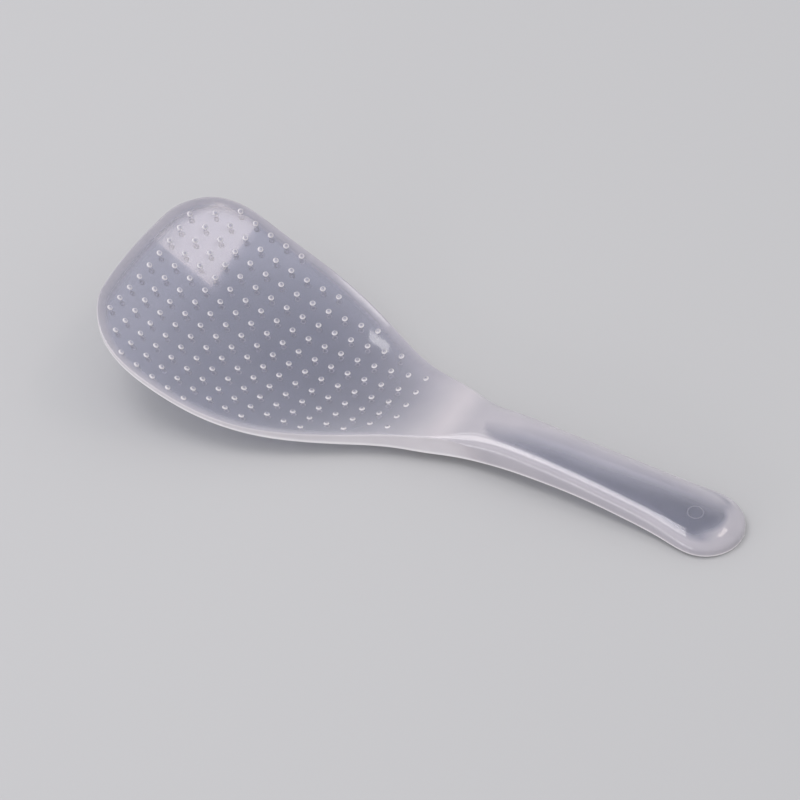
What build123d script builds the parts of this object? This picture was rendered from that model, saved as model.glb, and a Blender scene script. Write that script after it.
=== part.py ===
from build123d import *

import math
import os
from collections import namedtuple

# Rice paddle moulded in one shot from translucent polypropylene.
# The blade is a shallow dish with rows of small nubs on both faces, the neck is solid,
# and the handle is an inverted channel, open below, that ends in a half circle.
# Millimetres, +Z up, at rest on a table: the underside of the dish and the end of the
# handle rim touch Z = 0. +X runs from the blade to the handle, and the origin is at the
# middle of the footprint.

# Lengths along the paddle
blade_length = 91.0
neck_length = 16.0
handle_length = 85.3
overall_length = blade_length + neck_length + handle_length

# Widths
blade_width = 69.0
blade_root_width = 28.0
neck_width = 19.2
grip_width = 16.4
handle_end_width = 22.0

# Heights on the centre line, and the depth of the dish
floor_height = 3.26
tip_rise = 27.5
crown_rise = 8.3
crown_drop = 0.55
arch_height = 4.2
dish_depth = 5.3

# Thicknesses
blade_thickness = 2.4
crown_wall = 2.2
side_wall = 2.0
neck_end_wall = 4.6

# Rounded edges
blade_edge_radius = 0.8
crown_edge_radius = 2.5
hollow_edge_radius = 0.9

# Nubs, on a grid in a tilted plane, with pitches as shares of the blade's width and length
nub_row_pitch_share = 0.0761
nub_column_pitch_share = 0.0577
nub_diameter = 1.6
nub_height = 0.5
nub_draft = 25.0
nub_seat_gap = 0.01
nub_sides = 8
nub_grid_tilt = 14.5
nub_grid_centre_share = 0.435
nub_grid_rise_share = 0.160
# For each row out from the middle one, the nubs on the tip's side and on the neck's side
# of the middle of the grid. A row that ends before the middle has a count below zero.
nub_row_counts = ((7, 9), (7, 9), (7, 9), (7, 7), (7, 5), (6, 2), (5, -1))

# Raised rings left by the ejector pins under the crown
ejector_ring_diameter = 4.8
ejector_ring_width = 0.5
ejector_ring_height = 0.3
ejector_place_shares = (0.130, 0.838)

# Length that every cutting tool runs past what it cuts
overrun = 4.0

# Places along X
tip_x = -overall_length / 2
root_x = tip_x + blade_length
handle_x = root_x + neck_length
end_x = tip_x + overall_length

# Half outline of the blade, from the end of the tip arc, in shares of the blade length
# and of half the blade width
blade_outline_shares = (
    (0.0165, 0.487),
    (0.048, 0.699),
    (0.111, 0.894),
    (0.184, 0.983),
    (0.293, 1.000),
    (0.458, 0.965),
    (0.637, 0.841),
    (0.827, 0.609),
)
# Half outline of the neck and the grip, in shares of their length and half width
neck_outline_shares = ((0.60, 1.185),)
grip_outline_shares = ((0.142, 1.022), (0.273, 1.000), (0.464, 1.030), (0.640, 1.105), (0.775, 1.220))

# Cross sections of the dish. Each row gives the place along the blade, the half width,
# the rise of the floor, the depth of the upper face, the thickness and the depth of the
# lower face, as shares of their sizes
dish_shares = (
    (-0.055, 1.000, 1.090, 1.34, 1.25, 1.34),
    (0.105, 1.000, 0.690, 1.11, 1.17, 1.11),
    (0.270, 1.000, 0.383, 0.97, 1.08, 0.97),
    (0.434, 0.970, 0.160, 0.97, 1.02, 0.95),
    (0.600, 0.870, 0.033, 0.95, 1.00, 0.87),
    (0.743, 0.720, 0.000, 0.85, 1.12, 0.71),
    (0.897, 0.535, 0.038, 0.61, 1.42, 0.43),
    (1.000, 0.420, 0.116, 0.33, 2.00, 0.22),
)
# Cross sections of the neck: place, half width, rise of the crown, depth of the dish
# that is left, height and depth of the underside, and rounding of the upper edges
neck_shares = (
    (0.60, 1.185, 0.680, 0.065, 0.515, 0.06, 0.40),
    (1.00, 1.000, 0.835, -0.040, 0.604, 0.00, 1.00),
)
# Cross sections of the handle: place, half width, rise of the crown and of the arch
grip_shares = (
    (0.148, 1.022, 0.998, 0.886),
    (0.324, 1.000, 0.939, 1.000),
    (0.499, 1.036, 0.794, 0.924),
    (0.675, 1.125, 0.609, 0.595),
    (0.851, 1.300, 0.396, 0.235),
    (0.950, 1.300, 0.280, 0.085),
    (1.030, 1.300, 0.175, -0.055),
)
band_share = 1.15

Section = namedtuple("Section", "x half reach top top_sag bottom bottom_sag edge_radius")


def sections():
    """Cross sections of the moulding from ahead of the tip to behind the handle."""
    rows = []
    for place, half, rise, sag, thickness, under_sag in dish_shares:
        top = floor_height + rise * tip_rise
        rows.append(
            Section(
                tip_x + place * blade_length,
                half * blade_width / 2,
                band_share * half * blade_width / 2,
                top,
                sag * dish_depth,
                top - thickness * blade_thickness,
                under_sag * dish_depth,
                blade_edge_radius,
            )
        )
    for place, half, rise, sag, under, under_sag, rounding in neck_shares:
        rows.append(
            Section(
                root_x + place * neck_length,
                half * neck_width / 2,
                band_share * half * neck_width / 2,
                floor_height + rise * crown_rise,
                sag * dish_depth,
                under * arch_height,
                under_sag * dish_depth,
                rounding * crown_edge_radius,
            )
        )
    for place, half, rise, arch in grip_shares:
        rows.append(
            Section(
                handle_x + place * handle_length,
                half * grip_width / 2,
                band_share * handle_end_width / 2,
                floor_height + rise * crown_rise,
                -crown_drop,
                arch * arch_height,
                0,
                crown_edge_radius,
            )
        )
    return rows


def cross_plane(x):
    """Plane across the paddle at x, with its own x along +Y and its own y along +Z."""
    return Plane(origin=(x, 0, 0), x_dir=(0, 1, 0), z_dir=(1, 0, 0))


def sagging_curve(half, middle, sag):
    """Parabola across the paddle that stands sag above its middle at both ends."""
    return Bezier((-half, middle + sag), (0, middle - sag), (half, middle + sag))


def band_face(section):
    """Strip across the paddle, wider than the outline, between upper and lower curves."""
    growth = (section.reach / section.half) ** 2
    upper = sagging_curve(section.reach, section.top, growth * section.top_sag)
    lower = sagging_curve(section.reach, section.bottom, growth * section.bottom_sag)
    left = Line(upper @ 0, lower @ 0)
    right = Line(upper @ 1, lower @ 1)
    return cross_plane(section.x) * make_face(Curve() + [upper, right, lower, left])


def make_band():
    """The moulding's upper and lower faces as one lofted slab, before its outline."""
    return loft([band_face(section) for section in sections()])


def outline_points():
    """Half outline on the +Y side, from the end of the tip arc to the end half circle."""
    points = [
        (tip_x + place * blade_length, half * blade_width / 2)
        for place, half in blade_outline_shares
    ]
    points.append((root_x, blade_root_width / 2))
    points += [
        (root_x + place * neck_length, half * neck_width / 2)
        for place, half in neck_outline_shares
    ]
    points.append((handle_x, neck_width / 2))
    points += grip_points(0)
    points.append((end_x - handle_end_width / 2, handle_end_width / 2))
    return points


def grip_points(inset):
    """Half outline of the grip on the +Y side, drawn in by inset."""
    return [
        (handle_x + place * handle_length, half * grip_width / 2 - inset)
        for place, half in grip_outline_shares
    ]


def mirrored(points):
    """The same points on the -Y side."""
    return [(x, -y) for x, y in points]


def plan_face(start_x, side, stop_x):
    """Plan view with an arc at each end and a smooth curve through the points of a side."""
    other = mirrored(side)
    start_arc = ThreePointArc(other[0], (start_x, 0), side[0])
    stop_arc = ThreePointArc(side[-1], (stop_x, 0), other[-1])
    ends = (start_arc % 1, stop_arc % 0)
    other_ends = (-(start_arc % 0), -(stop_arc % 1))
    left = Spline(side, tangents=ends, tangent_scalars=(1, 1))
    right = Spline(other, tangents=other_ends, tangent_scalars=(1, 1))
    return make_face(Curve() + [start_arc, left, stop_arc, right])


def make_prism(face):
    """Upright block on a plan face, past the paddle's lowest and highest points."""
    top = floor_height + tip_rise + dish_depth + overrun
    return Pos(0, 0, -overrun) * extrude(face, amount=top + overrun)


def make_slice(start_x, stop_x):
    """Block that keeps what lies between two places along X."""
    tall = 2 * (floor_height + tip_rise + dish_depth + overrun)
    middle = (start_x + stop_x) / 2
    return Pos(middle, 0, 0) * Box(stop_x - start_x, 2 * blade_width, tall)


def upper_edges(part, cut_x):
    """Edges round the top of a part, without the upright seams and a cut across at cut_x."""
    lid = part.faces().sort_by(SortBy.AREA)[-2:].sort_by(Axis.Z)[-1]
    return lid.edges().filter_by(lambda edge: abs(edge.center().X - cut_x) > blade_edge_radius)


def make_blade(moulding):
    """Dished plate from the tip to the root."""
    return moulding & make_slice(tip_x - overrun, root_x)


def rounded_face(section):
    """Cross section of the neck with its four corners rounded."""
    upper_radius = section.edge_radius
    lower_radius = blade_edge_radius
    inner = section.half - upper_radius
    upper_sag = section.top_sag * (inner / section.half) ** 2
    upper = sagging_curve(inner, section.top, upper_sag)
    shoulder = section.top + upper_sag
    base_inner = section.half - lower_radius
    lower_sag = section.bottom_sag * (base_inner / section.half) ** 2
    lower = sagging_curve(base_inner, section.bottom, lower_sag)
    foot = section.bottom + lower_sag
    turn = math.sqrt(0.5)
    pieces = [upper, lower]
    for side in (-1, 1):
        corner = ThreePointArc(
            (side * inner, shoulder),
            (side * (inner + turn * upper_radius), shoulder - (1 - turn) * upper_radius),
            (side * section.half, shoulder - upper_radius),
        )
        base = ThreePointArc(
            (side * base_inner, foot),
            (side * (base_inner + turn * lower_radius), foot + (1 - turn) * lower_radius),
            (side * section.half, foot + lower_radius),
        )
        pieces += [corner, Line(corner @ 1, base @ 1), base]
    return cross_plane(section.x) * make_face(Curve() + pieces)


def make_neck():
    """Solid piece between the dish and the handle, lofted and cut at both ends."""
    near = [s for s in sections() if root_x - neck_length < s.x < handle_x + neck_length]
    return loft([rounded_face(section) for section in near]) & make_slice(root_x, handle_x)


def make_hollow(band):
    """Space under the crown, with a half circle at both ends and rounded upper edges."""
    start_x = handle_x + neck_end_wall
    stop_x = end_x - side_wall
    start_radius = grip_points(side_wall)[0][1]
    stop_radius = handle_end_width / 2 - side_wall
    side = [(start_x + start_radius, start_radius)]
    side += grip_points(side_wall)[1:]
    side.append((stop_x - stop_radius, stop_radius))
    plan = plan_face(start_x, side, stop_x)
    hollow = make_prism(plan) & (Pos(0, 0, -crown_wall) * band)
    return fillet(upper_edges(hollow, start_x), hollow_edge_radius)


def make_handle(moulding, band):
    """Inverted channel: a crown with side walls all round, open below."""
    block = moulding & make_slice(handle_x, end_x + overrun)
    return fillet(upper_edges(block, handle_x), crown_edge_radius) - make_hollow(band)


def nub_shape():
    """One nub on the XY plane: a low stud that narrows upward."""
    base = RegularPolygon(nub_diameter / 2, nub_sides)
    return Pos(0, 0, nub_seat_gap) * extrude(base, amount=nub_height, taper=nub_draft)


def grid_lines():
    """Lines through the nub grid, square to the plane that the grid lies in."""
    tilt = math.radians(nub_grid_tilt)
    along = Vector(math.cos(tilt), 0, -math.sin(tilt))
    outward = Vector(math.sin(tilt), 0, math.cos(tilt))
    centre_x = tip_x + nub_grid_centre_share * blade_length
    centre = Vector(centre_x, 0, floor_height + nub_grid_rise_share * tip_rise)
    column_step = along * (nub_column_pitch_share * blade_length)
    row_step = Vector(0, nub_row_pitch_share * blade_width, 0)
    lines = []
    for row in range(1 - len(nub_row_counts), len(nub_row_counts)):
        ahead, behind = nub_row_counts[abs(row)]
        for column in range(-ahead, behind + 1):
            lines.append(Axis(centre + column_step * column + row_step * row, outward))
    return lines


def seated_nub(face, line):
    """Place on a broad face of the blade where a line meets it, and a nub seated there."""
    place, normal = face.find_intersection_points(line)[0]
    outward = normal if normal.dot(line.direction) > 0 else -normal
    return place, Plane(origin=place, z_dir=outward) * nub_shape()


def make_nubs(blade):
    """Front nubs on the grid, and back nubs right below them along the mould's draw."""
    lower_face, upper_face = blade.faces().sort_by(SortBy.AREA)[-2:].sort_by(Axis.Z)
    front = []
    back = []
    for line in grid_lines():
        place, nub = seated_nub(upper_face, line)
        front.append(nub)
        back.append(seated_nub(lower_face, Axis(place, (0, 0, -1)))[1])
    return Compound(children=front), Compound(children=back)


def make_ejector_rings(band):
    """Two flat rings that stand down from the underside of the crown."""
    outer = ejector_ring_diameter / 2
    inner = outer - ejector_ring_width
    underside = Pos(0, 0, -crown_wall) * band
    layer = underside - Pos(0, 0, -ejector_ring_height) * underside
    rings = []
    for share in ejector_place_shares:
        plan = Pos(handle_x + share * handle_length, 0) * (Circle(outer) - Circle(inner))
        rings += (make_prism(plan) & layer).solids().sort_by(Axis.Z)[-1:]
    return Compound(rings)


def main():
    """Build every part of the moulding and write each to its own file."""
    band = make_band()
    moulding = make_prism(plan_face(tip_x, outline_points(), end_x)) & band
    blade = make_blade(moulding)
    front_nubs, back_nubs = make_nubs(blade)
    parts = {
        "blade": blade,
        "front_nubs": front_nubs,
        "back_nubs": back_nubs,
        "neck": make_neck(),
        "handle": make_handle(moulding, band),
        "ejector_rings": make_ejector_rings(band),
    }
    os.makedirs("parts", exist_ok=True)
    for name, shape in parts.items():
        export_step(shape, f"parts/{name}.step")


main()
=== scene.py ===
"""Translucent rice paddle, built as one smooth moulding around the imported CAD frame."""

import logging
import math
from collections.abc import Callable
from dataclasses import dataclass, field
from enum import Enum

import bmesh
import bpy
import numpy as np
from mathutils import Matrix, Vector
from mathutils.geometry import delaunay_2d_cdt


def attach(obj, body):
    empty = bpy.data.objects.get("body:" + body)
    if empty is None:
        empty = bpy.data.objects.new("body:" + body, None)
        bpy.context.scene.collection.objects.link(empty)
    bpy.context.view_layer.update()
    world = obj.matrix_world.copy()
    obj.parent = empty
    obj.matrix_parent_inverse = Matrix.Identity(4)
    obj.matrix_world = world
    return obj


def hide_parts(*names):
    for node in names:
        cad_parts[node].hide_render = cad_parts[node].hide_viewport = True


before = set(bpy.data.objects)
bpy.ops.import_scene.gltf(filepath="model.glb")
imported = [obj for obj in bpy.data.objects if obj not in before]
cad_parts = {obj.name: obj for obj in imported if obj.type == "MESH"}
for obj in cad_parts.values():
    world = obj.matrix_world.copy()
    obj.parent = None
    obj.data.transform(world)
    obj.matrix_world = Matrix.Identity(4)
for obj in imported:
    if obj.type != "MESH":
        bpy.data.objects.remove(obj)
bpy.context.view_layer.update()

log = logging.getLogger("rice_paddle")

# All sizes of the paddle are in millimetres, and MM turns them into the scene's metres.
MM = 0.001

# Distances between the points of a loop and of a sheet, from a sheet's inner points to its edge,
# and between the points of an outline that only serves to measure from.
LOOP_SPACING = 0.7
SHEET_SPACING = 1.0
EDGE_CLEARANCE = 0.9
TRACE_SPACING = 0.4

# Depth of an edge with painted glow: its colour is made near-white to stand in for the light that the
# plastic carries to it.
PAINTED_GLOW = 1.0


class Face(Enum):
    """The two broad faces of the moulding, with the way each one looks along Z."""

    UPPER = 1.0
    LOWER = -1.0


class SmoothCurve:
    """Cubic curve through given values, with curvature that runs on from span to span."""

    def __init__(
        self,
        knots: np.ndarray,
        values: np.ndarray,
        start: np.ndarray | None = None,
        end: np.ndarray | None = None,
    ) -> None:
        """Solve for the slopes at the knots.

        Args:
            knots: Rising places of the values.
            values: One value or one row of values per knot.
            start: Slope at the first knot, or None for a free end.
            end: Slope at the last knot, or None for a free end.
        """
        self.knots = np.asarray(knots, dtype=float)
        self.values = np.asarray(values, dtype=float)
        count = len(self.knots)
        step = np.diff(self.knots)
        rise = np.diff(self.values, axis=0)
        rate = rise / step.reshape((-1,) + (1,) * (self.values.ndim - 1))
        system = np.zeros((count, count))
        target = np.zeros_like(self.values)
        for i in range(1, count - 1):
            system[i, i - 1] = step[i]
            system[i, i] = 2 * (step[i - 1] + step[i])
            system[i, i + 1] = step[i - 1]
            target[i] = 3 * (step[i] * rate[i - 1] + step[i - 1] * rate[i])
        for row, slope, near, span in ((0, start, 1, 0), (count - 1, end, count - 2, -1)):
            system[row, row] = 1.0 if slope is not None else 2.0
            if slope is None:
                system[row, near] = 1.0
                target[row] = 3 * rate[span]
            else:
                target[row] = slope
        flat = target.reshape(count, -1)
        self.slopes = np.linalg.solve(system, flat).reshape(self.values.shape)

    def at(self, places: np.ndarray) -> np.ndarray:
        """Values at any places, also a little beyond the first and last knots.

        Args:
            places: Places in any number.

        Returns:
            One value or one row of values per place.
        """
        places = np.asarray(places, dtype=float)
        span = np.clip(np.searchsorted(self.knots, places) - 1, 0, len(self.knots) - 2)
        step = self.knots[span + 1] - self.knots[span]
        t = (places - self.knots[span]) / step
        if self.values.ndim > 1:
            t, step = t[..., None], step[..., None]
        first, second = self.values[span], self.values[span + 1]
        lead, trail = self.slopes[span] * step, self.slopes[span + 1] * step
        h = t * t * (3 - 2 * t)
        return first + h * (second - first) + t * (1 - t) * ((1 - t) * lead - t * trail)


def smooth_step(start: float | np.ndarray, stop: float | np.ndarray, x: float | np.ndarray) -> np.ndarray:
    """Share that goes gently from 0 at start to 1 at stop."""
    t = np.clip((np.asarray(x, dtype=float) - start) / (stop - start), 0.0, 1.0)
    return t * t * (3 - 2 * t)


def even_loop(points: np.ndarray, spacing: float) -> np.ndarray:
    """Points at even distances round a closed run of finer points.

    Args:
        points: Closed run of plan points, the last one different from the first.
        spacing: Wanted distance between neighbours.

    Returns:
        The new points, as many as fit the length.
    """
    closed = np.vstack([points, points[:1]])
    length = np.concatenate([[0.0], np.cumsum(np.linalg.norm(np.diff(closed, axis=0), axis=1))])
    count = int(round(length[-1] / spacing / 2)) * 2
    places = np.arange(count) * length[-1] / count
    return np.stack([np.interp(places, length, closed[:, i]) for i in (0, 1)], axis=1)


def inward(points: np.ndarray) -> np.ndarray:
    """Unit plan directions that point into a loop.

    Args:
        points: Loop of plan points, clockwise seen from above.

    Returns:
        One direction per point.
    """
    ahead = np.roll(points, -1, axis=0) - np.roll(points, 1, axis=0)
    ahead /= np.linalg.norm(ahead, axis=1)[:, None]
    return np.stack([ahead[:, 1], -ahead[:, 0]], axis=1)


def end_arc(tip: float, end: np.ndarray) -> tuple[float, float, float]:
    """Arc across the centre line, through its middle and its end on the +Y side.

    Args:
        tip: Place of the arc's middle along X.
        end: Plan point of its end.

    Returns:
        Radius, place of the centre along X, and half the angle that the arc spans.
    """
    depth = abs(end[0] - tip)
    radius = (end[1] ** 2 + depth**2) / (2 * depth)
    angle = math.atan2(end[1], radius - depth)
    return radius, tip + math.copysign(radius, end[0] - tip), angle


def rounded_plan(start_x: float, side: np.ndarray, stop_x: float) -> np.ndarray:
    """Fine clockwise run of plan points: an arc at each end and smooth sides.

    Args:
        start_x: Place of the first arc's middle on the centre line.
        side: Points of the +Y side, from the end of the first arc to the start of the last.
        stop_x: Place of the last arc's middle.

    Returns:
        The closed run, from the middle of the first arc along the +Y side and back.
    """
    fine = 400
    first_radius, first_centre, first_angle = end_arc(start_x, side[0])
    last_radius, last_centre, last_angle = end_arc(stop_x, side[-1])
    turn = np.linspace(0.0, first_angle, fine)[:-1]
    first = np.stack([first_centre - first_radius * np.cos(turn), first_radius * np.sin(turn)], axis=1)
    turn = np.linspace(last_angle, 0.0, fine)[1:]
    last = np.stack([last_centre + last_radius * np.cos(turn), last_radius * np.sin(turn)], axis=1)
    chord = np.concatenate([[0.0], np.cumsum(np.linalg.norm(np.diff(side, axis=0), axis=1))])
    lead = np.array([math.sin(first_angle), math.cos(first_angle)])
    trail = np.array([math.sin(last_angle), -math.cos(last_angle)])
    curve = SmoothCurve(chord, side, start=lead, end=trail)
    middle = curve.at(np.linspace(0.0, chord[-1], 4 * fine))
    half = np.vstack([first, middle, last])
    return np.vstack([half, (half * (1.0, -1.0))[-2:0:-1]])


def runs_left(loop: list[Vector]) -> bool:
    """Whether a closed run of plan points turns left, counter-clockwise seen from above."""
    return sum(a.cross(b) for a, b in zip(loop, loop[1:] + loop[:1])) > 0


def inside_loop(points: np.ndarray, loop: np.ndarray) -> np.ndarray:
    """Which plan points lie inside a closed run of plan points.

    Args:
        points: Points to sort.
        loop: Closed run round the region.

    Returns:
        One True or False per point.
    """
    inside = np.zeros(len(points), dtype=bool)
    for a, b in zip(loop, np.roll(loop, -1, axis=0)):
        if a[1] != b[1]:
            crosses = (a[1] > points[:, 1]) != (b[1] > points[:, 1])
            at = a[0] + (points[:, 1] - a[1]) / (b[1] - a[1]) * (b[0] - a[0])
            inside ^= crosses & (points[:, 0] < at)
    return inside


def distance_to(points: np.ndarray, others: np.ndarray) -> np.ndarray:
    """Distance from each plan point to the nearest of some others.

    Args:
        points: Points to measure from, taken in blocks so that the work needs little memory.
        others: Points to measure to.

    Returns:
        One distance per point.
    """
    block_size = 1000
    blocks = np.array_split(points, 1 + len(points) // block_size)
    gaps = [np.linalg.norm(block[:, None] - others, axis=2).min(axis=1) for block in blocks]
    return np.concatenate(gaps)


def spread_points(region: np.ndarray, spacing: float, clear: float) -> np.ndarray:
    """Plan points on a triangular grid inside a loop.

    Args:
        region: Closed run of plan points.
        spacing: Distance between neighbours.
        clear: Least distance to the loop.

    Returns:
        The points as rows of X and Y.
    """
    low, high = region.min(axis=0), region.max(axis=0)
    rows = []
    for number, y in enumerate(np.arange(low[1], high[1], spacing * math.sqrt(0.75))):
        x = np.arange(low[0] + (number % 2) * spacing / 2, high[0], spacing)
        rows.append(np.column_stack([x, np.full(len(x), y)]))
    grid = np.vstack(rows)
    grid = grid[inside_loop(grid, region)]
    return grid[distance_to(grid, region) > clear]


class Shell:
    """Collects the loops, bands and sheets of one closed mesh."""

    def __init__(self) -> None:
        """Start with no points."""
        self.points: list[tuple] = []
        self.faces: list[tuple] = []
        self.set_normals: dict[int, np.ndarray] = {}
        self.set_depths_and_painted_light: dict[int, float] = {}
        self.nub_points: list[int] = []

    def loop(self, points: np.ndarray) -> list[int]:
        """Add points.

        Args:
            points: Rows of X, Y and height.

        Returns:
            Numbers of the new points.
        """
        start = len(self.points)
        self.points += [tuple(p) for p in points]
        return list(range(start, len(self.points)))

    def lifted_loop(self, flat: np.ndarray, heights: np.ndarray) -> list[int]:
        """Add plan points at their heights and return their numbers."""
        return self.loop(np.column_stack([flat, heights]))

    def plan_of(self, numbers: list[int]) -> np.ndarray:
        """Plan places of some points."""
        return np.array([self.points[n][:2] for n in numbers])

    def face(self, numbers: list[int], normals: np.ndarray) -> None:
        """Note which way the surface looks at some points."""
        self.set_normals.update(zip(numbers, normals / np.linalg.norm(normals, axis=1)[:, None]))

    def mark(self, numbers: list[int], depth: float | np.ndarray) -> None:
        """Note how deep the plastic looks at some points, or the painted light put there, from 0 thin to 1
        at an edge with painted glow.
        """
        self.set_depths_and_painted_light.update(zip(numbers, np.broadcast_to(depth, len(numbers))))

    def bands(self, loops: list[list[int]]) -> None:
        """Join each loop to the next, of the same length, with a ring of quads.

        Args:
            loops: Numbers of the loops in order.
        """
        for first, second in zip(loops, loops[1:]):
            for i in range(len(first)):
                j = (i + 1) % len(first)
                self.faces.append((first[i], first[j], second[j], second[i]))

    def cap(self, ring: list[int], top: np.ndarray) -> int:
        """Close a ring with triangles that meet at a point.

        Args:
            ring: Numbers of the ring.
            top: The point.

        Returns:
            Number of the point.
        """
        (tip,) = self.loop([top])
        for i, corner in enumerate(ring):
            self.faces.append((corner, ring[(i + 1) % len(ring)], tip))
        return tip

    def sheet(
        self,
        outer: list[int],
        holes: list[list[int]],
        islands: list[list[int]],
        inner: np.ndarray,
        lift: Callable[[np.ndarray], np.ndarray],
        normals: Callable[[np.ndarray], np.ndarray],
    ) -> None:
        """Fill a region with triangles over plan points.

        Args:
            outer: Numbers of the loop round the region.
            holes: Loops that stay open.
            islands: Loops inside holes that are filled again.
            inner: More plan points inside the region.
            lift: Function from plan points to heights.
            normals: Function from plan points to unit normals.
        """
        closeness = 1e-7
        all_triangles = 0
        loops = [outer, *holes, *islands]
        numbers = [n for ring in loops for n in ring]
        plan = [Vector(self.points[n][:2]) for n in numbers]
        numbers += self.lifted_loop(inner, lift(inner))
        plan += [Vector(p) for p in inner]
        rings, start = [], 0
        for ring in loops:
            places = list(range(start, start + len(ring)))
            rings.append(places if runs_left([plan[i] for i in places]) else places[::-1])
            start += len(ring)
        found = delaunay_2d_cdt(plan, [], rings, all_triangles, closeness)
        _, _, triangles, point_sources, _, triangle_sources = found
        last_hole = len(holes)
        for corners, sources in zip(triangles, triangle_sources):
            in_hole = any(1 <= s <= last_hole for s in sources)
            in_island = any(s > last_hole for s in sources)
            if 0 in sources and (in_island or not in_hole):
                self.faces.append(tuple(numbers[point_sources[c][0]] for c in corners))
        self.set_normals.update(zip(numbers, normals(self.plan_of(numbers))))


@dataclass
class Plan:
    """Sizes and outline of the paddle seen from above."""

    blade_length: float = 91.0
    neck_length: float = 16.0
    handle_length: float = 85.3
    blade_width: float = 69.0
    blade_root_width: float = 28.0
    neck_width: float = 19.2
    grip_width: float = 16.4
    handle_end_width: float = 22.0
    # Each pair is a place along the blade, neck or handle and a half width there, as shares.
    blade_shares: tuple[tuple[float, float], ...] = (
        (0.0165, 0.487),
        (0.048, 0.699),
        (0.111, 0.894),
        (0.184, 0.983),
        (0.293, 1.000),
        (0.458, 0.965),
        (0.637, 0.841),
        (0.827, 0.609),
    )
    neck_shares: tuple[tuple[float, float], ...] = ((0.60, 1.185),)
    grip_shares: tuple[tuple[float, float], ...] = (
        (0.142, 1.022),
        (0.273, 1.000),
        (0.464, 1.030),
        (0.640, 1.105),
        (0.775, 1.220),
    )

    @property
    def tip_x(self) -> float:
        """Place of the tip along X."""
        return -(self.blade_length + self.neck_length + self.handle_length) / 2

    @property
    def root_x(self) -> float:
        """Place where the blade meets the neck."""
        return self.tip_x + self.blade_length

    @property
    def handle_x(self) -> float:
        """Place where the neck meets the handle."""
        return self.root_x + self.neck_length

    @property
    def end_x(self) -> float:
        """Place of the handle's end."""
        return self.handle_x + self.handle_length

    def past_neck(self, run: tuple[float, float], x: np.ndarray) -> np.ndarray:
        """Share that goes from 0 to 1 between two distances past the end of the neck."""
        return smooth_step(self.handle_x + run[0], self.handle_x + run[1], x)

    def grip_side(self, inset: float) -> list[tuple[float, float]]:
        """Points of the grip's +Y side.

        Args:
            inset: Distance by which the side is drawn in.

        Returns:
            The points, from the neck towards the end.
        """
        return [
            (self.handle_x + place * self.handle_length, half * self.grip_width / 2 - inset)
            for place, half in self.grip_shares
        ]

    def outline(self) -> np.ndarray:
        """Outline of the whole paddle.

        Returns:
            Fine clockwise run of points, from the middle of the tip.
        """
        side = [
            (self.tip_x + place * self.blade_length, half * self.blade_width / 2)
            for place, half in self.blade_shares
        ]
        side.append((self.root_x, self.blade_root_width / 2))
        side += [
            (self.root_x + place * self.neck_length, half * self.neck_width / 2)
            for place, half in self.neck_shares
        ]
        side.append((self.handle_x, self.neck_width / 2))
        side += self.grip_side(0.0)
        side.append((self.end_x - self.handle_end_width / 2, self.handle_end_width / 2))
        return rounded_plan(self.tip_x, np.array(side), self.end_x)

    def hollow(self, end_wall: float, side_wall: float) -> np.ndarray:
        """Outline of the hollow of the handle.

        Args:
            end_wall: Thickness of the wall between the neck and the hollow.
            side_wall: Thickness of the walls at the sides and the handle's end.

        Returns:
            Fine clockwise run of points, from the middle of the end by the neck.
        """
        start_x = self.handle_x + end_wall
        stop_x = self.end_x - side_wall
        grip = self.grip_side(side_wall)
        radius = grip[0][1]
        end_radius = self.handle_end_width / 2 - side_wall
        side = [(start_x + radius, radius)] + grip[1:] + [(stop_x - end_radius, end_radius)]
        return rounded_plan(start_x, np.array(side), stop_x)


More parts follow.
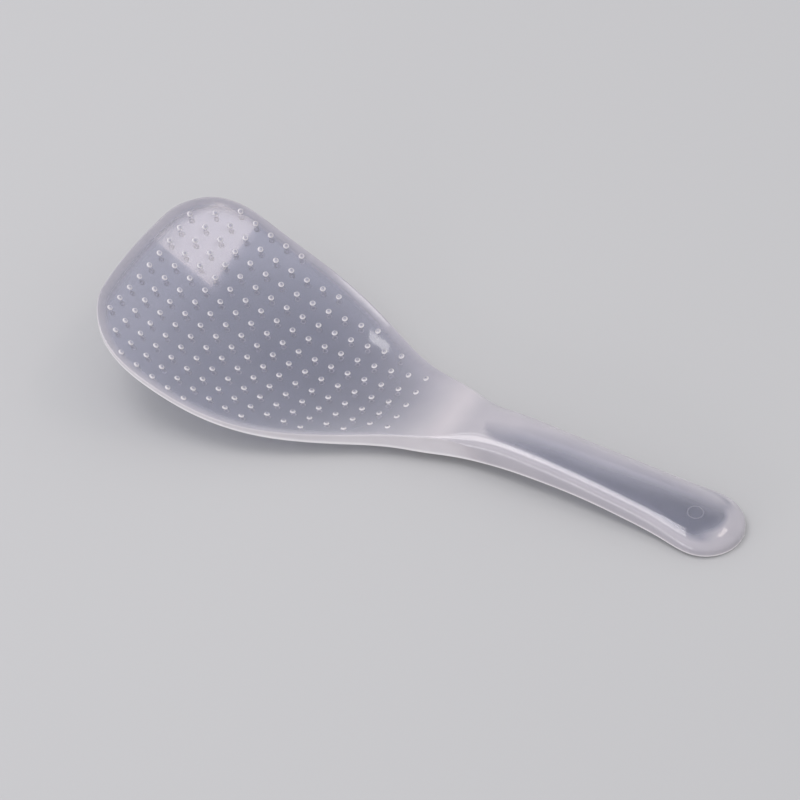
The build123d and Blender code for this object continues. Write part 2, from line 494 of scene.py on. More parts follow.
@dataclass
class Skin:
    """Heights of the upper and lower faces."""

    plan: Plan
    floor_height: float = 3.26
    tip_rise: float = 27.5
    crown_rise: float = 8.3
    crown_drop: float = 0.55
    arch_height: float = 4.2
    dish_depth: float = 5.3
    blade_thickness: float = 2.4
    crown_wall: float = 2.2
    # Place, half width, height, sag of the upper face, thickness and sag of the lower face.
    dish_shares: tuple[tuple[float, ...], ...] = (
        (-0.055, 1.000, 1.034, 1.34, 1.62, 1.36),
        (0.105, 1.000, 0.690, 1.11, 1.17, 1.11),
        (0.270, 1.000, 0.383, 0.97, 1.08, 0.97),
        (0.434, 0.970, 0.160, 0.97, 1.02, 0.95),
        (0.600, 0.870, 0.033, 0.95, 1.00, 0.87),
        (0.743, 0.720, 0.000, 0.85, 1.12, 0.71),
        (0.897, 0.535, 0.038, 0.61, 1.42, 0.43),
        (1.000, 0.420, 0.116, 0.33, 2.00, 0.22),
    )
    # Place, half width, height, sag of the upper face, height and sag of the lower face.
    neck_shares: tuple[tuple[float, ...], ...] = (
        (0.60, 1.185, 0.680, 0.065, 0.515, 0.06),
        (1.00, 1.000, 0.835, -0.040, 0.604, 0.00),
    )
    # Place, height of the crown and height of the arch under the side walls.
    grip_shares: tuple[tuple[float, float, float], ...] = (
        (0.148, 0.998, 0.886),
        (0.324, 0.939, 1.000),
        (0.499, 0.794, 0.924),
        (0.675, 0.609, 0.595),
        (0.851, 0.396, 0.235),
        (0.950, 0.280, 0.085),
        (1.030, 0.175, -0.055),
    )
    curves: SmoothCurve = field(init=False)

    def __post_init__(self) -> None:
        """Run one smooth curve along X through the sizes of all cross sections."""
        plan = self.plan
        rows = []
        for place, half, rise, sag, thickness, under_sag in self.dish_shares:
            width = half * plan.blade_width / 2
            top = self.floor_height + rise * self.tip_rise
            bottom = top - thickness * self.blade_thickness
            x = plan.tip_x + place * plan.blade_length
            rows.append((x, width, top, sag * self.dish_depth, bottom, under_sag * self.dish_depth))
        for place, half, rise, sag, under, under_sag in self.neck_shares:
            width = half * plan.neck_width / 2
            top = self.floor_height + rise * self.crown_rise
            bottom = under * self.arch_height
            x = plan.root_x + place * plan.neck_length
            rows.append((x, width, top, sag * self.dish_depth, bottom, under_sag * self.dish_depth))
        for place, rise, arch in self.grip_shares:
            width = plan.handle_end_width / 2
            top = self.floor_height + rise * self.crown_rise
            x = plan.handle_x + place * plan.handle_length
            rows.append((x, width, top, -self.crown_drop, arch * self.arch_height, 0.0))
        table = np.array(rows)
        self.curves = SmoothCurve(table[:, 0], table[:, 1:])

    def height(self, face: Face, points: np.ndarray) -> np.ndarray:
        """Height of one face.

        Args:
            face: Which face.
            points: Plan points.

        Returns:
            One height per point.
        """
        rows = self.curves.at(points[:, 0])
        spread = (points[:, 1] / rows[:, 0]) ** 2
        if face is Face.UPPER:
            return rows[:, 1] + rows[:, 2] * spread
        return rows[:, 3] + rows[:, 4] * spread

    def ceiling(self, points: np.ndarray) -> np.ndarray:
        """Height of the underside of the crown over plan points."""
        return self.height(Face.UPPER, points) - self.crown_wall

    def normals(self, face: Face, points: np.ndarray) -> np.ndarray:
        """Directions that stand out of one face.

        Args:
            face: Which face.
            points: Plan points.

        Returns:
            One unit direction per point.
        """
        reach = 0.05
        steps = np.array([[reach, 0.0], [0.0, reach]])
        slopes = [
            (self.height(face, points + step) - self.height(face, points - step)) / (2 * reach)
            for step in steps
        ]
        normal = np.stack([-slopes[0], -slopes[1], np.ones(len(points))], axis=1)
        return face.value * normal / np.linalg.norm(normal, axis=1)[:, None]


@dataclass
class NubGrid:
    """Rows of domed nubs on both faces of the blade."""

    plan: Plan
    skin: Skin
    row_pitch_share: float = 0.0761
    column_pitch_share: float = 0.0577
    tilt_degrees: float = 14.5
    centre_share: float = 0.435
    rise_share: float = 0.160
    # Nubs towards the tip and towards the neck from the middle column, for the middle row and
    # each row further out.
    row_counts: tuple[tuple[int, int], ...] = ((7, 9), (7, 9), (7, 9), (7, 7), (7, 5), (6, 2), (5, -1))
    foot_radius: float = 0.86
    # Radius and height of each ring above the foot, with its painted light on the front and the back:
    # painted highlight on the outer rings and painted shade on the top.
    profile: tuple[tuple[float, float], ...] = ((0.80, 0.10), (0.72, 0.27), (0.52, 0.42), (0.26, 0.49))
    front_painted_light: tuple[float, ...] = (0.90, 0.95, 0.68, 0.20)
    back_painted_light: tuple[float, ...] = (0.90, 0.95, 0.75, 0.40)
    height: float = 0.5
    corners: int = 18
    settling_rounds: int = 12
    settling_share: float = 0.8

    def places(self) -> np.ndarray:
        """Plan places where the lines of the tilted grid meet the upper face.

        Returns:
            One place per nub, the same for both faces.
        """
        tilt = math.radians(self.tilt_degrees)
        along = np.array([math.cos(tilt), 0.0, -math.sin(tilt)])
        out = np.array([math.sin(tilt), 0.0, math.cos(tilt)])
        middle = np.array(
            [
                self.plan.tip_x + self.centre_share * self.plan.blade_length,
                0.0,
                self.skin.floor_height + self.rise_share * self.skin.tip_rise,
            ]
        )
        column_step = along * self.column_pitch_share * self.plan.blade_length
        row_step = np.array([0.0, self.row_pitch_share * self.plan.blade_width, 0.0])
        starts = []
        for row in range(1 - len(self.row_counts), len(self.row_counts)):
            to_tip, to_neck = self.row_counts[abs(row)]
            for column in range(-to_tip, to_neck + 1):
                starts.append(middle + column_step * column + row_step * row)
        point = np.array(starts)
        for _ in range(self.settling_rounds):
            gap = self.skin.height(Face.UPPER, point[:, :2]) - point[:, 2]
            point += out * (gap / out[2])[:, None] * self.settling_share
        return point[:, :2]

    def rings(self, face: Face) -> list[tuple[list[np.ndarray], np.ndarray]]:
        """Rings of each nub from its foot on the face to its last ring, and its top.

        Args:
            face: Face that the nubs stand on.

        Returns:
            For each nub, a list of rings of points, and the point at its top.
        """
        places = self.places()
        normals = self.skin.normals(face, places)
        heights = self.skin.height(face, places)
        turn = np.arange(self.corners) * 2 * math.pi / self.corners
        nubs = []
        for place, normal, height in zip(places, normals, heights):
            middle = np.array([place[0], place[1], height])
            first = np.cross((0.0, 1.0, 0.0), normal)
            first /= np.linalg.norm(first)
            second = np.cross(normal, first)
            circle = np.outer(np.cos(turn), first) + np.outer(np.sin(turn), second)
            foot = middle + self.foot_radius * circle
            foot[:, 2] = self.skin.height(face, foot[:, :2])
            rings = [foot]
            rings += [middle + radius * circle + rise * normal for radius, rise in self.profile]
            nubs.append((rings, middle + self.height * normal))
        return nubs

    def add(self, shell: Shell, face: Face) -> list[list[int]]:
        """Raise the nubs of one face.

        Args:
            shell: Mesh in the making.
            face: Face that the nubs stand on.

        Returns:
            Numbers of the ring at the foot of each nub.
        """
        # Painted light on each nub: bright outer rings and a darker top stand in for its highlights and
        # shade.
        depths = self.front_painted_light if face is Face.UPPER else self.back_painted_light
        feet = []
        for rings, top in self.rings(face):
            loops = [shell.loop(ring) for ring in rings]
            shell.bands(loops)
            tip = shell.cap(loops[-1], top)
            for numbers, depth in zip([*loops[1:], [tip]], [*depths, depths[-1]]):
                shell.mark(numbers, depth)
                shell.nub_points += numbers
            feet.append(loops[0])
        return feet


@dataclass
class EdgeRun:
    """Points round the outline with the form of the rounded edge at each of them."""

    places: np.ndarray
    into: np.ndarray
    top_width: np.ndarray
    top_drop: np.ndarray
    under_radius: np.ndarray
    crown_share: np.ndarray
    # Share by which the painted glow on the edge's side fades out along the handle.
    fade: np.ndarray

    @property
    def outward(self) -> np.ndarray:
        """Level unit directions that point away from the paddle."""
        return np.column_stack([-self.into, np.zeros(len(self.into))])


@dataclass
class Rim:
    """Rounded edge round the whole outline, small on the blade and wide on the crown."""

    plan: Plan
    skin: Skin
    blade_edge_radius: float = 0.55
    blade_under_radius: float = 0.8
    crown_edge_width: float = 4.5
    crown_edge_drop: float = 2.6
    crown_under_radius: float = 0.4
    shoulder_width: float = 2.2
    shoulder_place: float = 5.5
    shoulder_length: float = 4.5
    end_width_share: float = 2.1
    end_drop_share: float = 1.25
    end_run_shares: tuple[float, float] = (0.34, 0.04)
    waist_height: float = 0.9
    steps: int = 8
    # Distances past the neck's end over which the blade's edge turns into the crown's.
    width_run: tuple[float, float] = (-8.0, 4.0)
    drop_run: tuple[float, float] = (-4.0, 8.0)
    under_run: tuple[float, float] = (-4.0, 12.0)
    # The last run is where the painted glow on the edge's side fades out.
    painted_glow_fade_run: tuple[float, float] = (-2.0, 36.0)
    # Painted glow on top of the blade's edge, how much more painted glow its side gets, and the painted
    # glow of the waist, all as depths.
    top_painted_glow: float = 0.48
    side_painted_glow: float = 0.34
    waist_painted_glow: float = 0.84
    # Degrees from the upper face over which the side's extra painted glow and the crown side's painted glow
    # set in.
    side_painted_glow_turn: tuple[float, float] = (20.0, 60.0)
    crown_turn: tuple[float, float] = (50.0, 90.0)

    def sized(self, outline: np.ndarray, into: np.ndarray) -> EdgeRun:
        """Work out the form of the edge at each point of the outline.

        Args:
            outline: Plan points of the outline.
            into: Inward directions at them.

        Returns:
            The outline with its edge.
        """
        plan, x = self.plan, outline[:, 0]
        crown_share = plan.past_neck(self.width_run, x)
        start, stop = (plan.end_x - share * plan.handle_length for share in self.end_run_shares)
        end = smooth_step(start, stop, x)
        crown_width = self.crown_edge_width * (1.0 + end * (self.end_width_share - 1.0))
        crown_drop = self.crown_edge_drop * (1.0 + end * (self.end_drop_share - 1.0))
        shoulder = np.exp(-(((x - plan.handle_x - self.shoulder_place) / self.shoulder_length) ** 2))
        top_width = self.blade_edge_radius + crown_share * (crown_width - self.blade_edge_radius)
        top_width += self.shoulder_width * shoulder
        settled = plan.past_neck(self.drop_run, x)
        under = plan.past_neck(self.under_run, x)
        under_gain = self.crown_under_radius - self.blade_under_radius
        return EdgeRun(
            places=outline,
            into=into,
            top_width=top_width,
            top_drop=self.blade_edge_radius + settled * (crown_drop - self.blade_edge_radius),
            under_radius=self.blade_under_radius + under * under_gain,
            crown_share=crown_share,
            fade=plan.past_neck(self.painted_glow_fade_run, x),
        )

    def add(self, shell: Shell, outline: np.ndarray, into: np.ndarray) -> tuple[list[int], list[int]]:
        """Build the edge from the upper face down to the lower face.

        Args:
            shell: Mesh in the making.
            outline: Plan points of the outline.
            into: Inward directions at them.

        Returns:
            Numbers of the loops where the edge meets the upper and the lower face.
        """
        edge = self.sized(outline, into)
        turns = np.linspace(0.0, math.pi / 2, self.steps + 1)
        loops = [self.upper_loop(shell, edge, turn) for turn in turns]
        loops.append(self.waist_loop(shell, edge))
        loops += [self.lower_loop(shell, edge, turn) for turn in turns[::-1]]
        shell.bands(loops)
        return loops[0], loops[-1]

    def upper_loop(self, shell: Shell, edge: EdgeRun, turn: float) -> list[int]:
        """Add one loop of the rounding between the upper face and the side.

        Args:
            shell: Mesh in the making.
            edge: Outline with its edge.
            turn: Angle from the upper face, in radians.

        Returns:
            Numbers of the loop.
        """
        flat = edge.places + edge.into * (edge.top_width * (1 - math.sin(turn)))[:, None]
        height = self.skin.height(Face.UPPER, flat) - edge.top_drop * (1 - math.cos(turn))
        ring = shell.lifted_loop(flat, height)
        rise = (edge.top_width * math.cos(turn))[:, None] * self.skin.normals(Face.UPPER, flat)
        shell.face(ring, rise + (edge.top_drop * math.sin(turn))[:, None] * edge.outward)
        degrees = math.degrees(turn)
        # Painted glow: the rounding is coloured lighter towards its side, and on the crown only its side
        # keeps it.
        depth = self.top_painted_glow + self.side_painted_glow * smooth_step(*self.side_painted_glow_turn, degrees)
        side = smooth_step(*self.crown_turn, degrees)
        shell.mark(ring, depth * (1 - edge.crown_share + side * (edge.crown_share - edge.fade)))
        return ring

    def waist_loop(self, shell: Shell, edge: EdgeRun) -> list[int]:
        """Add the loop on the side below which the lower edge has painted glow.

        Args:
            shell: Mesh in the making.
            edge: Outline with its edge.

        Returns:
            Numbers of the loop.
        """
        foot = self.skin.height(Face.LOWER, edge.places) + edge.under_radius
        top = self.skin.height(Face.UPPER, edge.places) - edge.top_drop
        ring = shell.lifted_loop(edge.places, foot + np.minimum(self.waist_height, 0.5 * (top - foot)))
        shell.face(ring, edge.outward)
        # The waist gets painted glow, faded out along the handle.
        shell.mark(ring, self.waist_painted_glow * (1 - edge.fade))
        return ring

    def lower_loop(self, shell: Shell, edge: EdgeRun, turn: float) -> list[int]:
        """Add one loop of the rounding between the side and the lower face.

        Args:
            shell: Mesh in the making.
            edge: Outline with its edge.
            turn: Angle from the lower face, in radians.

        Returns:
            Numbers of the loop.
        """
        flat = edge.places + edge.into * (edge.under_radius * (1 - math.sin(turn)))[:, None]
        height = self.skin.height(Face.LOWER, flat) + edge.under_radius * (1 - math.cos(turn))
        ring = shell.lifted_loop(flat, height)
        down = math.cos(turn) * self.skin.normals(Face.LOWER, flat)
        shell.face(ring, down + math.sin(turn) * edge.outward)
        # The lower rounding is coloured with the near-white painted glow.
        shell.mark(ring, PAINTED_GLOW)
        return ring


@dataclass
class Hollow:
    """Space under the crown, open below, with two ejector rings under its ceiling."""

    plan: Plan
    skin: Skin
    side_wall: float = 2.0
    neck_end_wall: float = 4.6
    mouth_radius: float = 0.3
    mouth_steps: int = 4
    ceiling_radius: float = 0.9
    ceiling_steps: int = 8
    ring_diameter: float = 4.8
    ring_width: float = 0.5
    ring_height: float = 0.3
    ring_slope_share: float = 1 / 6
    ring_clearance: float = 0.9
    ring_corners: int = 36
    ring_place_shares: tuple[float, float] = (0.130, 0.838)

    def outline(self, spacing: float) -> np.ndarray:
        """Plan points at even distances round the hollow."""
        return even_loop(self.plan.hollow(self.neck_end_wall, self.side_wall), spacing)

    def add(self, shell: Shell) -> list[int]:
        """Build the walls, the ceiling and the rings.

        Args:
            shell: Mesh in the making.

        Returns:
            Numbers of the loop where the hollow meets the rim of the handle.
        """
        edge = self.outline(LOOP_SPACING)
        into = inward(edge)
        loops = []
        for turn in np.linspace(0.0, math.pi / 2, self.mouth_steps):
            flat = edge - into * (self.mouth_radius * (1 - math.sin(turn)))
            height = self.skin.height(Face.LOWER, flat) + self.mouth_radius * (1 - math.cos(turn))
            loops.append(shell.lifted_loop(flat, height))
            # The mouth of the hollow is coloured with the near-white painted glow.
            shell.mark(loops[-1], PAINTED_GLOW)
        for turn in np.linspace(0.0, math.pi / 2, self.ceiling_steps):
            flat = edge + into * (self.ceiling_radius * (1 - math.cos(turn)))
            height = self.skin.ceiling(flat) - self.ceiling_radius * (1 - math.sin(turn))
            loops.append(shell.lifted_loop(flat, height))
            # The walls get painted glow, fading out on the way to the ceiling.
            shell.mark(loops[-1], PAINTED_GLOW * math.sqrt(max(0.0, math.cos(turn))))
        shell.bands(loops)
        self.add_ceiling(shell, loops[-1])
        return loops[0]

    def add_ceiling(self, shell: Shell, edge: list[int]) -> None:
        """Fill the underside of the crown, with the ejector rings on it.

        Args:
            shell: Mesh in the making.
            edge: Numbers of the loop where the walls meet the ceiling.
        """
        outer = self.ring_diameter / 2
        inner = outer - self.ring_width
        along, length = self.plan.handle_x, self.plan.handle_length
        middles = [np.array([along + share * length, 0.0]) for share in self.ring_place_shares]
        rings = [self.add_ring(shell, middle, outer, inner) for middle in middles]
        grid = spread_points(shell.plan_of(edge), SHEET_SPACING, EDGE_CLEARANCE)
        to_ring = np.abs(distance_to(grid, np.array(middles)) - (outer + inner) / 2)
        shell.sheet(
            edge,
            [ring[0] for ring in rings],
            [ring[-1] for ring in rings],
            grid[to_ring > self.ring_clearance],
            self.skin.ceiling,
            lambda p: -self.skin.normals(Face.UPPER, p),
        )

    def add_ring(self, shell: Shell, middle: np.ndarray, outer: float, inner: float) -> list[list[int]]:
        """Build one ejector ring, which stands down from the ceiling.

        Args:
            shell: Mesh in the making.
            middle: Plan place of its middle.
            outer: Outer radius.
            inner: Inner radius.

        Returns:
            Numbers of its loops, from the outside to the inside.
        """
        turn = np.arange(self.ring_corners) * 2 * math.pi / self.ring_corners
        circle = np.column_stack([np.cos(turn), np.sin(turn)])
        slope = self.ring_width * self.ring_slope_share
        drops = (
            (outer, 0.0),
            (outer - slope, self.ring_height),
            (inner + slope, self.ring_height),
            (inner, 0.0),
        )
        loops = []
        for radius, drop in drops:
            flat = middle + radius * circle
            loops.append(shell.lifted_loop(flat, self.skin.ceiling(flat) - drop))
        # The face of the ring is coloured with the near-white painted glow.
        shell.mark(loops[1] + loops[2], PAINTED_GLOW)
        shell.bands(loops)
        return loops


@dataclass
class MilkinessAndPaintedLight:
    """How deep the plastic looks from place to place, with painted light and glow added, from 0 thin to 1
    at an edge with painted glow.
    """

    plan: Plan
    skin: Skin
    rim: Rim
    hollow: Hollow
    # Solid plastic: thickness at which it starts to look deep, and how much more is deepest.
    thin_plate: float = 2.2
    thick_gain: float = 5.0
    thick_depth: float = 0.75
    # Side walls of the handle, seen through the crown, and the wall at its end.
    wall_depth: float = 0.58
    wall_reach: float = 2.2
    wall_overlap: float = -0.6
    neck_reach_gain: float = 2.6
    neck_reach_run: tuple[float, float] = (14.0, 5.0)
    end_wall_run: tuple[float, float] = (6.8, 4.2)
    end_run: tuple[float, float] = (12.0, 4.0)
    # Painted light that makes the far, +Y side of the crown lighter, and its shift towards the end.
    far_side_painted_light: float = 0.60
    far_end_loss: float = 0.2
    far_start: tuple[float, float] = (-6.5, 4.0)
    far_stop: tuple[float, float] = (8.0, 1.5)
    far_shift_run: tuple[float, float] = (36.0, 14.0)
    # Painted glow that the solid neck spreads into the handle, and the share of the painted light that is
    # left below the crown.
    neck_painted_glow: float = 0.36
    neck_light_length: float = 34.0
    crown_skin_share: float = 0.25
    below_crown_share: float = 0.3
    # The handle's depth is capped, and takes over from the neck's along this run past its end.
    handle_depth: float = 0.60
    handle_run: tuple[float, float] = (-4.0, 4.0)
    # Band of painted glow beside the edge of the whole paddle.
    edge_band_painted_glow: float = 0.48
    edge_band_run: tuple[float, float] = (4.2, 0.4)

    def in_solid(self, flat: np.ndarray) -> np.ndarray:
        """Depth by the thickness of the solid plastic.

        Args:
            flat: Plan points.

        Returns:
            One depth per point.
        """
        thickness = self.skin.height(Face.UPPER, flat) - self.skin.height(Face.LOWER, flat)
        return self.thick_depth * np.clip((thickness - self.thin_plate) / self.thick_gain, 0.0, 1.0)

    def in_handle(self, points: np.ndarray, edge_gap: np.ndarray) -> np.ndarray:
        """Depth by what stands under the crown, with painted light on the crown's far side and top and
        painted glow from the neck.

        Args:
            points: Rows of X, Y and height.
            edge_gap: Distance in plan from each point to the paddle's outline.

        Returns:
            One depth per point.
        """
        plan, flat, x = self.plan, points[:, :2], points[:, 0]
        hollow = self.hollow.outline(TRACE_SPACING)
        cover = np.where(inside_loop(flat, hollow), 1.0, -1.0) * distance_to(flat, hollow)
        end = smooth_step(plan.end_x - self.end_run[0], plan.end_x - self.end_run[1], x)
        reach = self.wall_reach + self.neck_reach_gain * plan.past_neck(self.neck_reach_run, x)
        side_wall = smooth_step(reach, self.wall_overlap, cover)
        wall = self.wall_depth * np.maximum(side_wall, end * smooth_step(*self.end_wall_run, edge_gap))
        # Painted light: the crown's +Y side is coloured lighter, a little less by the end.
        shift = smooth_step(plan.handle_x + self.far_shift_run[0], plan.end_x - self.far_shift_run[1], x)
        start, stop = (place + gain * shift for place, gain in (self.far_start, self.far_stop))
        far_painted_light = self.far_side_painted_light * (1.0 - self.far_end_loss * end)
        far_painted_light = far_painted_light * smooth_step(start, stop, points[:, 1])
        # Painted glow from the neck, fading along the handle, and painted light that is full on the crown's
        # top and weaker below it.
        neck = self.neck_painted_glow * plan.past_neck((self.neck_light_length, 0.0), x)
        skin_depth = self.rim.crown_edge_drop * self.crown_skin_share
        on_crown = points[:, 2] > self.skin.height(Face.UPPER, flat) - skin_depth
        painted_top_light = np.where(on_crown, 1.0, self.below_crown_share)
        return np.minimum(self.handle_depth, np.maximum(wall, painted_top_light * far_painted_light) + painted_top_light * neck)

    def mark(self, mesh: bpy.types.Mesh, shell: Shell) -> None:
        """Store the depth, with its painted light, at each point of the mesh.

        Args:
            mesh: The finished mesh.
            shell: What it was made from, with the painted glow and the nubs' painted light already noted at
                its edges and nubs.
        """
        points = np.array(shell.points)
        flat = points[:, :2]
        edge_gap = distance_to(flat, even_loop(self.plan.outline(), TRACE_SPACING))
        depth = self.in_solid(flat)
        in_handle = self.plan.past_neck(self.handle_run, flat[:, 0])
        depth = depth + in_handle * (self.in_handle(points, edge_gap) - depth)
        # Painted glow: a lighter band beside the outline.
        depth = np.maximum(depth, self.edge_band_painted_glow * smooth_step(*self.edge_band_run, edge_gap))
        # The edges' painted glow only lightens; the nubs' painted light, dark tops included, replaces what
        # is there.
        marked = np.array(list(shell.set_depths_and_painted_light))
        noted = np.array(list(shell.set_depths_and_painted_light.values()))
        on_nub = np.isin(marked, shell.nub_points)
        depth[marked] = np.where(on_nub, noted, np.maximum(depth[marked], noted))
        # The attribute named depth carries the painted light as well.
        layer = mesh.attributes.new("depth", "FLOAT", "POINT")
        layer.data.foreach_set("value", depth.astype(np.float32))


@dataclass(frozen=True)
class MilkyPlastic:
    """Milky translucent polypropylene, greyer where it is thin and whiter where it is thick, and near-white
    where glow is painted.
    """

    name: str = "milky_plastic"
    thin: tuple[float, float, float] = (0.545, 0.556, 0.685)
    thick: tuple[float, float, float] = (0.71, 0.665, 0.71)
    # Near-white of the painted glow on edges, hollow walls, ejector rings and nub rings; the ramp reaches
    # it at 1.
    edge: tuple[float, float, float] = (0.95, 0.92, 0.94)
    thick_depth: float = 0.75
    clear_share: float = 0.85
    roughness: float = 0.065
    ior: float = 1.49
    sheen: float = 0.5
    sheen_roughness: float = 0.25
    coat: float = 0.6
    coat_roughness: float = 0.04
    cloud_scale: float = 90.0
    cloud_detail: float = 3.0
    cloud_drift: float = 0.06

    def make(self) -> bpy.types.Material:
        """Build the node material.

        Returns:
            The material, which follows the depth and painted light stored at the points of a mesh.
        """
        material = bpy.data.materials.new(self.name)
        material.use_nodes = True
        tree = material.node_tree
        shader = tree.nodes["Principled BSDF"]
        depth = self.add_cloudy_depth_and_painted_light(tree)
        tree.links.new(self.add_colour(tree, depth), shader.inputs["Base Color"])
        tree.links.new(self.add_clearness(tree, depth), shader.inputs["Transmission Weight"])
        shader.inputs["Roughness"].default_value = self.roughness
        shader.inputs["IOR"].default_value = self.ior
        shader.inputs["Sheen Weight"].default_value = self.sheen
        shader.inputs["Sheen Roughness"].default_value = self.sheen_roughness
        shader.inputs["Coat Weight"].default_value = self.coat
        shader.inputs["Coat Roughness"].default_value = self.coat_roughness
        shader.inputs["Coat IOR"].default_value = self.ior
        return material

    def add_cloudy_depth_and_painted_light(self, tree: bpy.types.NodeTree) -> bpy.types.NodeSocket:
        """Add a faint cloudiness to the stored depth and painted light.

        Args:
            tree: Nodes of the material.

        Returns:
            Output that gives the depth and painted light, from 0 to 1.
        """
        depth = tree.nodes.new("ShaderNodeAttribute")
        depth.attribute_name = "depth"
        cloud = tree.nodes.new("ShaderNodeTexNoise")
        cloud.inputs["Scale"].default_value = self.cloud_scale
        cloud.inputs["Detail"].default_value = self.cloud_detail
        place = tree.nodes.new("ShaderNodeTexCoord")
        tree.links.new(place.outputs["Object"], cloud.inputs["Vector"])
        drift = tree.nodes.new("ShaderNodeMapRange")
        drift.inputs["To Min"].default_value = -self.cloud_drift
        drift.inputs["To Max"].default_value = self.cloud_drift
        tree.links.new(cloud.outputs["Fac"], drift.inputs["Value"])
        total = tree.nodes.new("ShaderNodeMath")
        total.operation = "ADD"
        total.use_clamp = True
        tree.links.new(depth.outputs["Fac"], total.inputs[0])
        tree.links.new(drift.outputs["Result"], total.inputs[1])
        return total.outputs["Value"]

    def add_colour(self, tree: bpy.types.NodeTree, depth: bpy.types.NodeSocket) -> bpy.types.NodeSocket:
        """Turn the depth and painted light into the colour of the plastic.

        Args:
            tree: Nodes of the material.
            depth: Output that gives the depth and painted light.

        Returns:
            Output that gives the colour.
        """
        colour = tree.nodes.new("ShaderNodeValToRGB")
        stops = colour.color_ramp.elements
        stops[0].color = (*self.thin, 1.0)
        stops[1].color = (*self.edge, 1.0)
        stops.new(self.thick_depth).color = (*self.thick, 1.0)
        tree.links.new(depth, colour.inputs["Fac"])
        return colour.outputs["Color"]

    def add_clearness(self, tree: bpy.types.NodeTree, depth: bpy.types.NodeSocket) -> bpy.types.NodeSocket:
        """Turn the depth and painted light into how much light passes straight through.

        Args:
            tree: Nodes of the material.
            depth: Output that gives the depth and painted light.

        Returns:
            Output that gives the share of clear plastic.
        """
        clear = tree.nodes.new("ShaderNodeMapRange")
        clear.inputs["To Min"].default_value = self.clear_share
        clear.inputs["To Max"].default_value = 0.0
        tree.links.new(depth, clear.inputs["Value"])
        return clear.outputs["Result"]


@dataclass
class Moulding:
    """The whole paddle as one closed skin: faces, rounded rim, nubs and hollow handle."""

    plan: Plan
    skin: Skin
    nubs: NubGrid
    rim: Rim
    hollow: Hollow
    milkiness_and_painted_light: MilkinessAndPaintedLight
    name: str = "paddle_moulding"
    outline_inset: float = 0.012
    nub_clearance: float = 1.4
    mouth_clearance: float = 0.6

    def build(self) -> bpy.types.Object:
        """Make the mesh object.

        Returns:
            The paddle without its finish.
        """
        shell = Shell()
        outline = even_loop(self.plan.outline(), LOOP_SPACING)
        into = inward(outline)
        upper_rim, lower_rim = self.rim.add(shell, outline + into * self.outline_inset, into)
        self.add_face(shell, Face.UPPER, upper_rim, [])
        mouth = self.hollow.add(shell)
        self.add_face(shell, Face.LOWER, lower_rim, mouth)
        return self.to_object(shell)

    def add_face(self, shell: Shell, face: Face, rim: list[int], mouth: list[int]) -> None:
        """Fill one broad face with its nubs and the sheet between them.

        Args:
            shell: Mesh in the making.
            face: Which face.
            rim: Numbers of the loop where the rounded edge meets the face.
            mouth: Numbers of the loop round the mouth of the hollow, or none on the upper face.
        """
        feet = self.nubs.add(shell, face)
        inner = spread_points(shell.plan_of(rim), SHEET_SPACING, EDGE_CLEARANCE)
        inner = inner[distance_to(inner, self.nubs.places()) > self.nub_clearance]
        holes = feet
        if mouth:
            hollow = shell.plan_of(mouth)
            inner = inner[~inside_loop(inner, hollow) & (distance_to(inner, hollow) > self.mouth_clearance)]
            holes = [mouth, *feet]
        shell.sheet(
            rim,
            holes,
            [],
            inner,
            lambda p: self.skin.height(face, p),
            lambda p: self.skin.normals(face, p),
        )

    def to_object(self, shell: Shell) -> bpy.types.Object:
        """Turn the collected points and faces into a smooth closed mesh.

        Args:
            shell: The finished collection.

        Returns:
            The mesh object, with its normals and its depths and painted light.
        """
        mesh = bpy.data.meshes.new(self.name)
        points = np.array(shell.points) * MM
        mesh.from_pydata([tuple(p) for p in points], [], shell.faces)
        form = bmesh.new()
        form.from_mesh(mesh)
        bmesh.ops.recalc_face_normals(form, faces=form.faces)
        form.to_mesh(mesh)
        open_edges = sum(1 for edge in form.edges if not edge.is_manifold)
        counts = len(form.verts), len(form.faces), open_edges
        log.info("%s: %d points, %d faces, %d open edges", self.name, *counts)
        form.free()
        mesh.shade_smooth()
        self.milkiness_and_painted_light.mark(mesh, shell)
        normals = np.array([v.normal[:] for v in mesh.vertices])
        for number, normal in shell.set_normals.items():
            normals[number] = normal
        mesh.normals_split_custom_set_from_vertices([tuple(n) for n in normals])
        return bpy.data.objects.new(self.name, mesh)

    def dress(self, paddle: bpy.types.Object, finish: MilkyPlastic) -> None:
        """Put the paddle in the scene with its finish, in the place of all CAD nodes.

        Args:
            paddle: The mesh object.
            finish: What it is made of.
        """
        bpy.context.scene.collection.objects.link(paddle)
        paddle.data.materials.append(finish.make())
        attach(paddle, "root")
        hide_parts("blade", "front_nubs", "back_nubs", "neck", "handle", "ejector_rings")
        log.info("%s: %d nubs on each face", self.name, len(self.nubs.places()))


@dataclass(frozen=True)
class SoftBox:
    """One flat studio lamp, with its place and size in metres and its lean and turn in degrees."""

    name: str
    place: tuple[float, float, float]
    size: tuple[float, float]
    lean: float
    turn: float
    glow: float
    colour: tuple[float, float, float]

    def make(self) -> bpy.types.Object:
        """Build the lamp.

        Returns:
            The lamp, whose power gives its face the same glow at any size.
        """
        lamp = bpy.data.lights.new(self.name, "AREA")
        lamp.shape = "RECTANGLE"
        lamp.size, lamp.size_y = self.size
        lamp.energy = self.glow * math.pi * self.size[0] * self.size[1]
        lamp.color = self.colour
        box = bpy.data.objects.new(self.name, lamp)
        box.location = self.place
        box.rotation_euler = (math.radians(self.lean), 0.0, math.radians(self.turn))
        return box


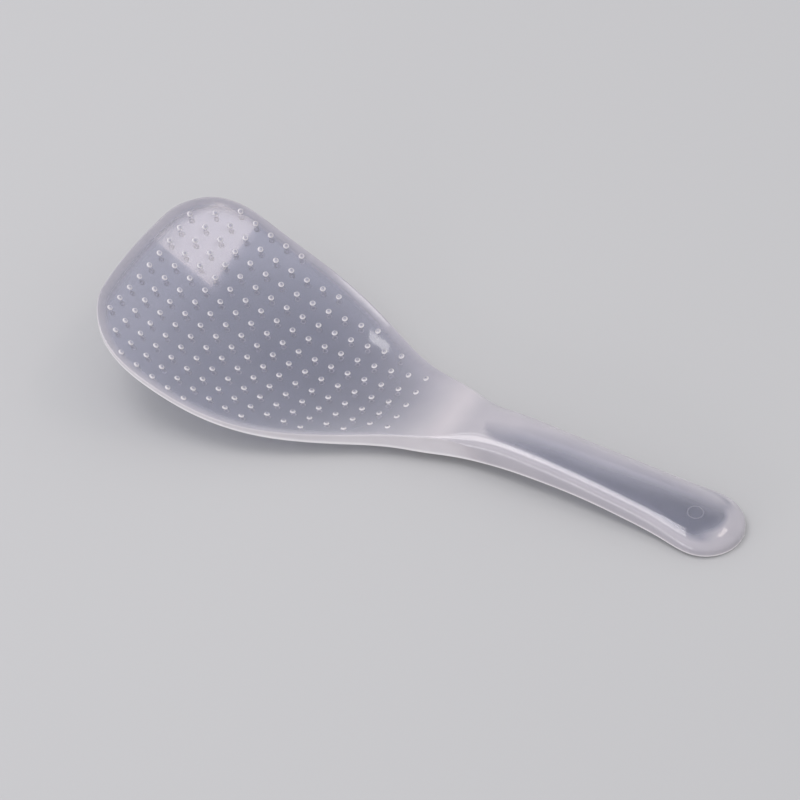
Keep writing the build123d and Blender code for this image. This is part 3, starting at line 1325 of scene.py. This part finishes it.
@dataclass
class Studio:
    """Floor, lamps and camera, in metres, with the lens and its sensor in millimetres."""

    azimuth_degrees: float = 34.62
    elevation_degrees: float = 44.77
    roll_degrees: float = -5.80
    distance: float = 1.63354
    aim: tuple[float, float, float] = (-0.00821, -0.00289, 0.01030)
    focal_length: float = 267.3
    sensor_width: float = 36.0
    floor_size: float = 6.0
    floor_colour: tuple[float, float, float] = (0.56, 0.56, 0.57)
    floor_roughness: float = 0.9
    floor_specular: float = 0.1
    room_colour: tuple[float, float, float] = (0.97, 0.98, 1.0)
    room_strength: float = 0.80
    soft_boxes: tuple[SoftBox, ...] = (
        SoftBox("side_box", (0.415, 0.370, 0.9), (0.155, 0.36), 0.0, 6.0, 3.1, (1.0, 0.87, 0.81)),
        SoftBox("top_box", (-0.36, -0.10, 0.9), (0.52, 0.38), 0.0, 0.0, 3.6, (1.0, 0.955, 0.965)),
        SoftBox("window", (-0.555, 0.20, 0.9), (0.135, 0.055), 0.0, 0.0, 3.5, (1.0, 0.97, 0.97)),
        SoftBox("front_box", (-0.30, -1.10, 0.26), (0.90, 0.22), 77.0, -15.0, 3.2, (1.0, 0.965, 0.98)),
    )

    def build(self) -> None:
        """Set up everything that isn't the paddle."""
        self.add_floor()
        self.add_lamps()
        self.add_camera()
        bpy.context.scene.view_settings.view_transform = "Standard"
        log.info("studio: floor, %d soft boxes and camera", len(self.soft_boxes))

    def add_floor(self) -> None:
        """Plain pale floor."""
        bpy.ops.mesh.primitive_plane_add(size=self.floor_size)
        floor = bpy.context.object
        floor.name = "floor"
        material = bpy.data.materials.new("floor_paper")
        material.use_nodes = True
        shader = material.node_tree.nodes["Principled BSDF"]
        shader.inputs["Base Color"].default_value = (*self.floor_colour, 1.0)
        shader.inputs["Roughness"].default_value = self.floor_roughness
        shader.inputs["Specular IOR Level"].default_value = self.floor_specular
        floor.data.materials.append(material)

    def add_lamps(self) -> None:
        """Plain pale room with its soft boxes."""
        world = bpy.data.worlds.new("room")
        bpy.context.scene.world = world
        world.use_nodes = True
        background = world.node_tree.nodes["Background"]
        background.inputs["Color"].default_value = (*self.room_colour, 1.0)
        background.inputs["Strength"].default_value = self.room_strength
        for soft_box in self.soft_boxes:
            bpy.context.scene.collection.objects.link(soft_box.make())

    def add_camera(self) -> None:
        """Camera at the photograph's viewing angle."""
        azimuth = math.radians(self.azimuth_degrees)
        elevation = math.radians(self.elevation_degrees)
        back = Vector(
            (
                math.sin(azimuth) * math.cos(elevation),
                -math.cos(azimuth) * math.cos(elevation),
                math.sin(elevation),
            )
        )
        data = bpy.data.cameras.new("camera")
        data.lens = self.focal_length
        data.sensor_width = self.sensor_width
        camera = bpy.data.objects.new("camera", data)
        turn = back.to_track_quat("Z", "Y").to_matrix()
        turn = turn @ Matrix.Rotation(math.radians(self.roll_degrees), 3, "Z")
        camera.matrix_world = Matrix.Translation(Vector(self.aim) + back * self.distance) @ turn.to_4x4()
        bpy.context.scene.collection.objects.link(camera)
        bpy.context.scene.camera = camera


def main() -> None:
    """Build the paddle, dress it and set up the studio."""
    logging.basicConfig(level=logging.INFO, format="%(name)s: %(message)s")
    plan = Plan()
    skin = Skin(plan)
    nubs = NubGrid(plan, skin)
    rim = Rim(plan, skin)
    hollow = Hollow(plan, skin)
    milkiness_and_painted_light = MilkinessAndPaintedLight(plan, skin, rim, hollow)
    moulding = Moulding(plan, skin, nubs, rim, hollow, milkiness_and_painted_light)
    moulding.dress(moulding.build(), MilkyPlastic())
    Studio().build()


if __name__ == "__main__":
    main()
